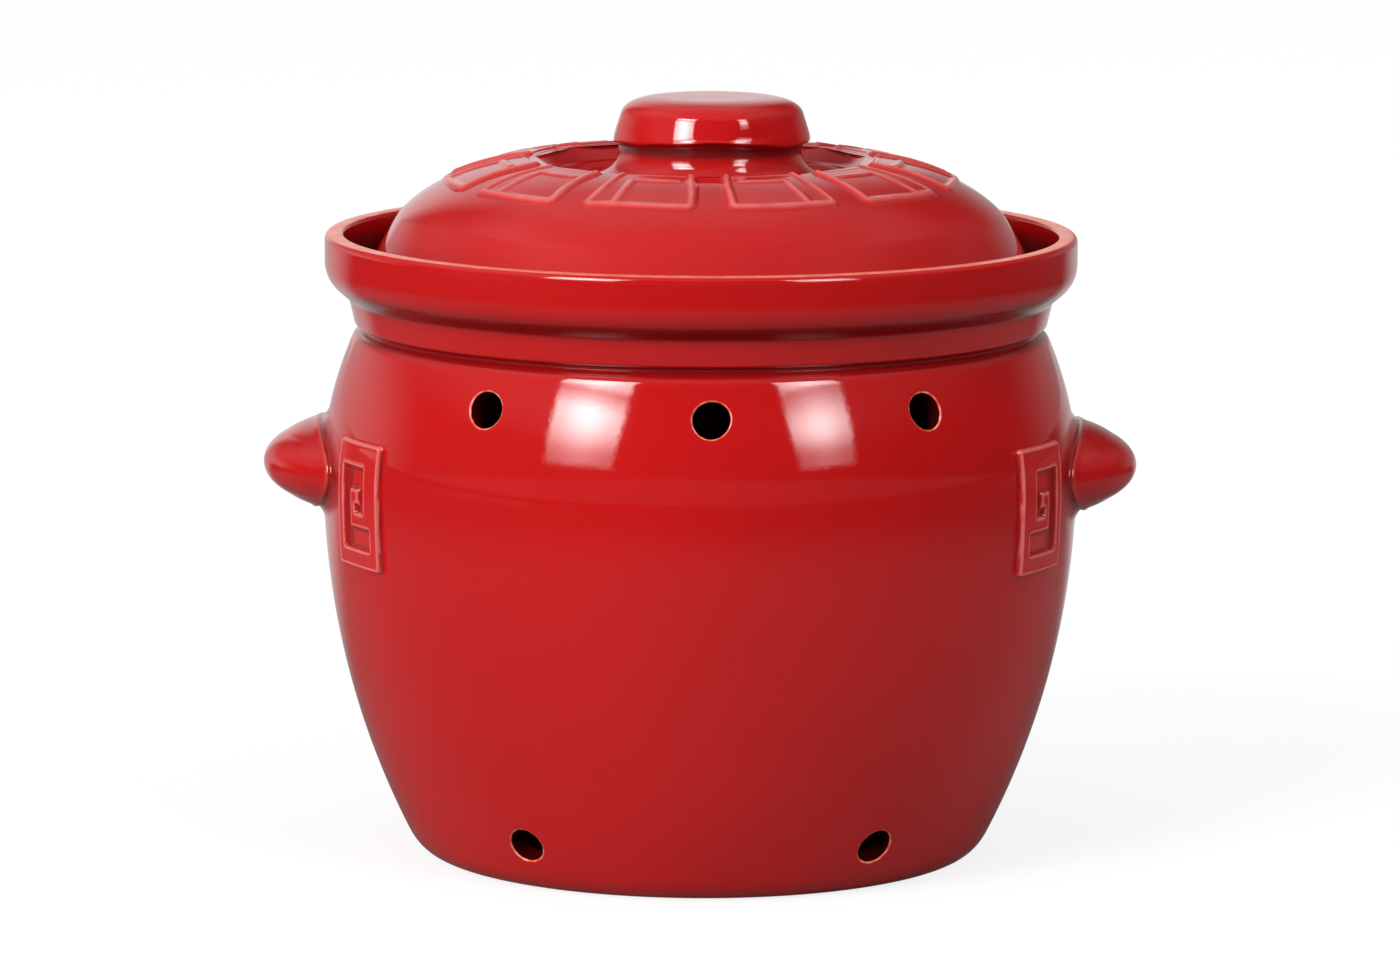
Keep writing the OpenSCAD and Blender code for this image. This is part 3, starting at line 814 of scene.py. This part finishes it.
def knob_outline():
    """Top, cap, lip, neck and flared foot, and the hollow back up to the axis"""
    foot_z = WELL_Z - 0.3 * MM
    top = np.array([(0, KNOB_TOP_Z), (KNOB_FLAT_R, KNOB_TOP_Z - 0.05 * MM)])
    shoulder = bend(top[-1], (KNOB_PULL_R, KNOB_TOP_Z - 0.3 * MM), (KNOB_SIDE_R, KNOB_SIDE_Z), 18)
    side = eased([
        (KNOB_SIDE_R, KNOB_SIDE_Z, 0),
        (KNOB_LIP_R, KNOB_CAP_Z + 3 * MM, 1.8 * MM),
        (KNOB_R, KNOB_CAP_Z + 0.2 * MM, 1 * MM),
        (KNOB_NECK_R + 0.2 * MM, KNOB_CAP_Z - 0.6 * MM, 0.9 * MM),
        (KNOB_NECK_R, KNOB_CAP_Z - 3.2 * MM, 0)])
    neck = bend(side[-1], (KNOB_NECK_R + 0.2 * MM, foot_z + 1.5 * MM), (KNOB_FOOT_R, foot_z), 18)
    hollow = eased([
        (KNOB_FOOT_R, foot_z, 0),
        (KNOB_BORE_R, foot_z, 0.5 * MM),
        (KNOB_BORE_R, KNOB_TOP_Z - 10 * MM, 9 * MM),
        (0, KNOB_TOP_Z - 10 * MM, 0)])
    return filled(np.concatenate([top, shoulder[1:], side[1:], neck[1:], hollow[1:]]))[::-1]


def make_knob(material):
    """The hollow knob: it leans, it bulges right of the front, and its lip hangs uneven, higher in front"""
    path = knob_outline()
    skin = Skin()
    points = turned(path, KNOB_X)
    r, z = path[:, :1], path[:, 1:]
    a = np.linspace(0, 2 * math.pi, SEGMENTS, endpoint=False)
    droop = 0.25 * np.sin(3 * a + 0.6) + 0.2 * np.sin(5 * a + 2.1) + 0.15 * np.sin(11 * a)
    lift = droop * MM + LIP_LIFT * np.maximum(-np.sin(a), 0) ** 3
    points[..., 2] += np.exp(-((z - KNOB_CAP_Z) / (2.4 * MM)) ** 2) * (r > KNOB_NECK_R - 1 * MM) * lift
    points[..., 0] += KNOB_LEAN * smooth((z - KNOB_CAP_Z) / (3 * MM) + 1)
    outside = r > KNOB_BORE_R + 1 * MM
    near = np.exp(-((a - BULGE_TURN) / BULGE_SPREAD) ** 2)
    swell = smooth((z - KNOB_CAP_Z - 2.5 * MM) / (7 * MM)) * smooth((KNOB_TOP_Z - z) / (5 * MM))
    swell += 0.7 * np.exp(-((z - KNOB_CAP_Z + 7 * MM) / (2.5 * MM)) ** 2) * outside
    points[..., :2] += (BULGE * near * swell)[..., None] * np.stack([np.cos(a), np.sin(a)], axis=-1)
    marks = arris_marks(path, KNOB_TOP_Z)
    # Painted shade: the glaze is darkened under the cap's lip
    under = np.exp(-((z - KNOB_CAP_Z + 2 * MM) / (2 * MM)) ** 2) * outside
    marks["pool"] = np.maximum(marks["pool"], under)
    grid = skin.add(points, **marks)
    grid[0] = grid[0, 0]
    grid[-1] = grid[-1, 0]
    skin.sheet(closed(grid))
    skin.build("lid_knob", "lid", "lid_glaze", material)


# Materials

class Nodes:
    """Short ways to add shader nodes to a tree"""

    def __init__(self, tree):
        self.tree = tree
        tree.nodes.clear()

    def add(self, kind, inputs=(), **settings):
        """Adds a node with its settings and its inputs, which are values or outputs of other nodes"""
        made = self.tree.nodes.new("ShaderNode" + kind)
        for name, value in settings.items():
            setattr(made, name, value)
        for name, value in dict(inputs).items():
            if isinstance(value, bpy.types.NodeSocket):
                self.tree.links.new(value, made.inputs[name])
            else:
                made.inputs[name].default_value = value
        return made

    def math(self, operation, a, b=0.0):
        return self.add("Math", {0: a, 1: b}, operation=operation).outputs[0]

    def product(self, first, *others):
        for other in others:
            first = self.math("MULTIPLY", first, other)
        return first

    def total(self, first, *others):
        for other in others:
            first = self.math("ADD", first, other)
        return first

    def line(self, value, slope, start):
        """A value times slope, added to start"""
        return self.math("ADD", self.math("MULTIPLY", value, slope), start)

    def dot(self, vector, way):
        return self.add("VectorMath", {0: vector, 1: way}, operation="DOT_PRODUCT").outputs["Value"]

    def ease(self, value, low, high, to_low=0.0, to_high=1.0):
        """A value eased from low to high"""
        inputs = {"Value": value, "From Min": low, "From Max": high, "To Min": to_low, "To Max": to_high}
        return self.add("MapRange", inputs, interpolation_type="SMOOTHSTEP").outputs["Result"]

    def mix(self, factor, a, b):
        """A colour between a and b"""
        made = self.add("Mix", {"Factor": factor}, data_type="RGBA", clamp_factor=True)
        for socket, value in zip([s for s in made.inputs if s.type == "RGBA"], (a, b)):
            if isinstance(value, bpy.types.NodeSocket):
                self.tree.links.new(value, socket)
            else:
                socket.default_value = (*value, 1)
        return next(s for s in made.outputs if s.type == "RGBA")

    def noise(self, place, scale, detail=2.0):
        return self.add("TexNoise", {"Vector": place, "Scale": scale, "Detail": detail}).outputs["Fac"]

    def mark(self, name):
        return self.add("Attribute", attribute_name=name, attribute_type="GEOMETRY").outputs["Fac"]


# Colours of the glaze and of bare clay: red, deep red where it pools and where shade is painted, and paler
# where it is thin, also as painted sheen on the tiles' ridges and the lugs' rings
RED = (0.465, 0.0056, 0.006)
DEEP_AND_SHADE_RED = (0.05, 0.001, 0.0015)
PANEL_RED = (0.53, 0.014, 0.014)
PANEL_DEEP_AND_SHADE = (0.16, 0.0015, 0.002)
TILE_RED = (0.48, 0.013, 0.013)
TILE_DEEP_AND_SHADE = (0.26, 0.003, 0.0035)
ORANGE = (0.80, 0.13, 0.065)
SALMON = (0.68, 0.12, 0.11)
PINK = (0.92, 0.47, 0.39)
CLAY = (0.52, 0.33, 0.22)

# Fineness of the glaze's patterns, per metre, and the height of its slow waves
CLOUDS = 16
WEAR = 160
SPECKS = 420
GLOSS = 60
WAVES = 24
GRAIN = 500
WAVE_H = 0.35 * MM

# Gloss of the glaze, and how much bare clay, thin glaze, and pooled glaze with its painted shade add to its
# roughness
GLAZE_IOR = 1.62
DULL_BARE = 0.6
DULL_THIN = 0.4
DULL_POOL = 0.2


def glaze(name, red, deep_and_shade, arris):
    """Glossy red glaze: deeper where it pools and where shade is painted, thin and paler on arrises and
    where sheen is painted, bare clay where the pot stands
    """
    material = bpy.data.materials.new(name)
    material.use_nodes = True
    n = Nodes(material.node_tree)
    place = n.add("TexCoord").outputs["Object"]
    thin = n.mark("thin")
    pool = n.mark("pool")
    bare = n.mark("bare")
    cloud = n.ease(n.noise(place, CLOUDS, 4), 0.3, 0.7)
    colour = n.mix(n.product(cloud, 0.35), red, tuple(0.86 * c for c in red))
    # Darker towards deep red where glaze pools, and where the pieces paint shade through the same mark
    colour = n.mix(pool, colour, deep_and_shade)
    worn = n.product(thin, n.total(n.noise(place, WEAR, 4), 0.5))
    colour = n.mix(n.ease(worn, 0.05, 0.55), colour, arris)
    colour = n.mix(n.ease(worn, 0.5, 1.0), colour, PINK)
    cells = n.add("TexVoronoi", {"Vector": place, "Scale": SPECKS})
    speck = n.ease(cells.outputs["Distance"], 0.16, 0.08)
    rare = n.ease(cells.outputs["Color"], 0.72, 0.8)
    colour = n.mix(n.product(speck, rare, 0.5), colour, deep_and_shade)
    colour = n.mix(bare, colour, CLAY)
    rough = n.total(
        n.line(n.noise(place, GLOSS), 0.04, 0.03),
        n.product(bare, DULL_BARE),
        n.product(thin, DULL_THIN),
        n.product(pool, DULL_POOL))
    height = n.total(n.noise(place, WAVES, 1), n.product(n.noise(place, GRAIN, 1), 0.03))
    bump = n.add("Bump", {"Height": height, "Distance": WAVE_H, "Strength": 1.0})
    shader = n.add("BsdfPrincipled", {
        "Base Color": colour, "Roughness": rough, "IOR": GLAZE_IOR, "Normal": bump.outputs["Normal"]})
    output = n.add("OutputMaterial")
    n.tree.links.new(shader.outputs["BSDF"], output.inputs["Surface"])
    return material


# Studio and camera

# Softboxes: height over the level and half their own height in degrees, blur of edges, light at the sides
SOFTBOX_UP = 27
SOFTBOX_HALF_H = 17.2
SOFTBOX_BLUR = 0.02
SOFTBOX_SIDE = 0.55

# Strip on top of a softbox: where it starts and is full, over the softbox's middle as seen from a metre away
STRIP_START = 0.095
STRIP_FULL = 0.16
STRIP_LIGHT = 0.9

# Lamps: how wide they are and how far away, in metres
LAMP_SIZE = 1.6
LAMP_AWAY = 3

# Floor's reach from the pot, and the camera's place and turns
FLOOR_REACH = 6
CAMERA_PLACE = (0, -2.6557, 0.5330)
CAMERA_PITCH = math.radians(81.45)
CAMERA_ROLL = math.radians(0.3)


def softbox(n, way, azimuth, half_w, low, high, hot_up, hot_below, hot_above):
    """Light of a softbox with a hot place and a bright strip on top; the camera's side is azimuth 0"""
    a, e = math.radians(azimuth), math.radians(SOFTBOX_UP)
    ahead = (math.sin(a) * math.cos(e), -math.cos(a) * math.cos(e), math.sin(e))
    level_way = (math.cos(a), math.sin(a), 0)
    rise = (-math.sin(a) * math.sin(e), math.cos(a) * math.sin(e), math.cos(e))
    depth = n.dot(way, ahead)
    near = n.math("MAXIMUM", depth, 0.01)
    across = n.math("ABSOLUTE", n.math("DIVIDE", n.dot(way, level_way), near))
    up = n.math("DIVIDE", n.dot(way, rise), near)
    half_across = math.tan(math.radians(half_w))
    half_up = math.tan(math.radians(SOFTBOX_HALF_H))
    inside = n.product(
        n.ease(across, half_across + SOFTBOX_BLUR, half_across - SOFTBOX_BLUR),
        n.ease(n.math("ABSOLUTE", up), half_up + SOFTBOX_BLUR, half_up - SOFTBOX_BLUR),
        n.math("GREATER_THAN", depth, 0.1))
    off = n.math("SUBTRACT", up, hot_up)
    off = n.math("MAXIMUM", n.math("DIVIDE", off, hot_above), n.math("DIVIDE", off, -hot_below))
    hot = n.math("EXPONENT", n.product(off, off, -1.0))
    strip = n.ease(up, STRIP_START, STRIP_FULL, 0.0, STRIP_LIGHT)
    bright = n.line(n.math("MAXIMUM", hot, strip), high, low)
    return n.product(inside, bright, n.ease(across, half_across, 0, SOFTBOX_SIDE, 1.0))


def make_world():
    """White for the camera; for the object a pale backdrop, a dim room and two softboxes in front"""
    world = bpy.data.worlds.new("studio")
    bpy.context.scene.world = world
    world.use_nodes = True
    n = Nodes(world.node_tree)
    way = n.add("TexCoord").outputs["Generated"]
    behind = n.dot(way, (-0.14, 0.99, 0))
    across = n.math("ABSOLUTE", n.dot(way, (0.99, 0.14, 0)))
    height = n.dot(way, (0, 0, 1))
    left = n.dot(way, (-1, 0, 0))
    room = n.line(left, 0.02, 0.06)
    table_edge = n.dot(way, (0, 0.13, 1))
    table = n.product(n.ease(behind, 0.35, 0.15), n.ease(table_edge, 0.01, -0.01, 0.0, 0.1))
    sweep = n.product(n.ease(behind, 0.1, 0.4), n.ease(across, 0.34, 0.16))
    sweep = n.product(sweep, n.ease(height, 0.8, 0.2, 0.1, 0.75))
    backdrop = n.product(n.ease(behind, 0.2, 0.7), n.ease(height, 0.42, 0.08), n.line(left, 0.22, 0.34))
    backdrop = n.math("MAXIMUM", backdrop, sweep)
    ceiling = n.product(n.ease(height, 0.55, 0.8), n.line(left, 0.1, 0.25))
    beside = n.ease(n.math("ABSOLUTE", left), 0.35, 0.7)
    walls = n.product(beside, n.ease(height, 0.25, 0.45), n.line(left, 0.09, 0.17))
    left_box = softbox(
        n, way, azimuth=-37.8, half_w=11, low=2.4, high=16, hot_up=0.012, hot_below=0.17, hot_above=0.07)
    right_box = softbox(
        n, way, azimuth=39.8, half_w=9.4, low=2, high=10.5, hot_up=-0.035, hot_below=0.12, hot_above=0.1)
    light = n.total(backdrop, ceiling, table, room, walls, left_box, right_box)
    rays = n.add("LightPath")
    clear = n.math("MAXIMUM", rays.outputs["Is Camera Ray"], rays.outputs["Is Transmission Ray"])
    strength = n.add("Mix", {"Factor": clear, "A": light, "B": 1.0}).outputs["Result"]
    background = n.add("Background", {"Color": (1, 1, 1, 1), "Strength": strength})
    output = n.add("OutputWorld")
    n.tree.links.new(background.outputs["Background"], output.inputs["Surface"])


def make_lamp(name, azimuth, elevation, watts):
    """A large soft light that doesn't show in the glaze; angles in degrees from the camera's side"""
    data = bpy.data.lights.new(name, "AREA")
    data.energy = watts
    data.size = LAMP_SIZE
    lamp = bpy.data.objects.new(name, data)
    lean = math.radians(90 - elevation)
    turn = Matrix.Rotation(math.radians(azimuth), 4, "Z") @ Matrix.Rotation(lean, 4, "X")
    lamp.matrix_world = turn @ Matrix.Translation((0, 0, LAMP_AWAY))
    lamp.visible_camera = False
    lamp.visible_glossy = False
    bpy.context.scene.collection.objects.link(lamp)


def make_floor():
    """A pale floor that the camera sees as white, apart from the pot's shadow"""
    material = bpy.data.materials.new("pale_floor")
    material.use_nodes = True
    n = Nodes(material.node_tree)
    rays = n.add("LightPath")
    clear = n.math("MAXIMUM", rays.outputs["Is Camera Ray"], rays.outputs["Is Transmission Ray"])
    place = n.add("TexCoord").outputs["Object"]
    behind = n.dot(place, (-0.1, 0.99, 0))
    aside = n.math("ABSOLUTE", n.dot(place, (0.99, 0.1, 0)))
    aside = n.math("DIVIDE", aside, n.math("MAXIMUM", behind, 0.01))
    glossy = rays.outputs["Is Glossy Ray"]
    glow = n.product(glossy, n.ease(behind, 0.15, 0.7, 0.0, 0.52), n.ease(aside, 1.1, 0.55))
    away = n.add("VectorMath", {0: place}, operation="LENGTH").outputs["Value"]
    shown = n.math("SUBTRACT", 0.2, n.product(glossy, n.ease(away, 0.45, 1.1, 0.0, 0.14)))
    pale = n.total(shown, n.product(rays.outputs["Is Diffuse Ray"], 0.14))
    white = n.total(n.product(clear, 0.82), glow)
    shader = n.add("BsdfPrincipled", {
        "Base Color": pale, "Roughness": 0.9, "Specular IOR Level": 0.0,
        "Emission Color": (1, 1, 1, 1), "Emission Strength": white})
    output = n.add("OutputMaterial")
    n.tree.links.new(shader.outputs["BSDF"], output.inputs["Surface"])
    mesh = bpy.data.meshes.new("floor")
    corners = [(FLOOR_REACH * x, FLOOR_REACH * y, 0) for x, y in ((-1, -1), (1, -1), (1, 1), (-1, 1))]
    mesh.from_pydata(corners, [], [(0, 1, 2, 3)])
    mesh.materials.append(material)
    floor = bpy.data.objects.new("floor", mesh)
    bpy.context.scene.collection.objects.link(floor)


def make_camera():
    """A long lens in front of the pot, a little above it"""
    data = bpy.data.cameras.new("camera")
    data.sensor_width = 36
    data.lens = 192.1
    camera = bpy.data.objects.new("camera", data)
    turn = Matrix.Rotation(CAMERA_PITCH, 4, "X") @ Matrix.Rotation(CAMERA_ROLL, 4, "Z")
    camera.matrix_world = Matrix.Translation(CAMERA_PLACE) @ turn
    bpy.context.scene.collection.objects.link(camera)
    bpy.context.scene.camera = camera


pot_glaze = glaze("pot_glaze", RED, DEEP_AND_SHADE_RED, ORANGE)
panel_glaze = glaze("panel_glaze", PANEL_RED, PANEL_DEEP_AND_SHADE, SALMON)
lid_glaze = glaze("lid_glaze", RED, DEEP_AND_SHADE_RED, ORANGE)
tile_glaze = glaze("tile_glaze", TILE_RED, TILE_DEEP_AND_SHADE, SALMON)

make_pot(pot_glaze)
make_lug(1, "right_lug", pot_glaze)
make_lug(-1, "left_lug", pot_glaze)
make_panel(1, 1, "right_rear_key_panel", panel_glaze)
make_panel(1, -1, "right_front_key_panel", panel_glaze)
make_panel(-1, 1, "left_rear_key_panel", panel_glaze)
make_panel(-1, -1, "left_front_key_panel", panel_glaze)
make_lid(lid_glaze)
make_knob(lid_glaze)
for tile in range(1, TILE_COUNT + 1):
    make_tile(tile, tile_glaze)

make_world()
make_lamp("side_light", azimuth=-66, elevation=12, watts=48)
make_lamp("back_light", azimuth=120, elevation=15, watts=20)
make_lamp("top_light", azimuth=0, elevation=80, watts=14)
make_floor()
make_camera()
bpy.context.scene.view_settings.view_transform = "Standard"
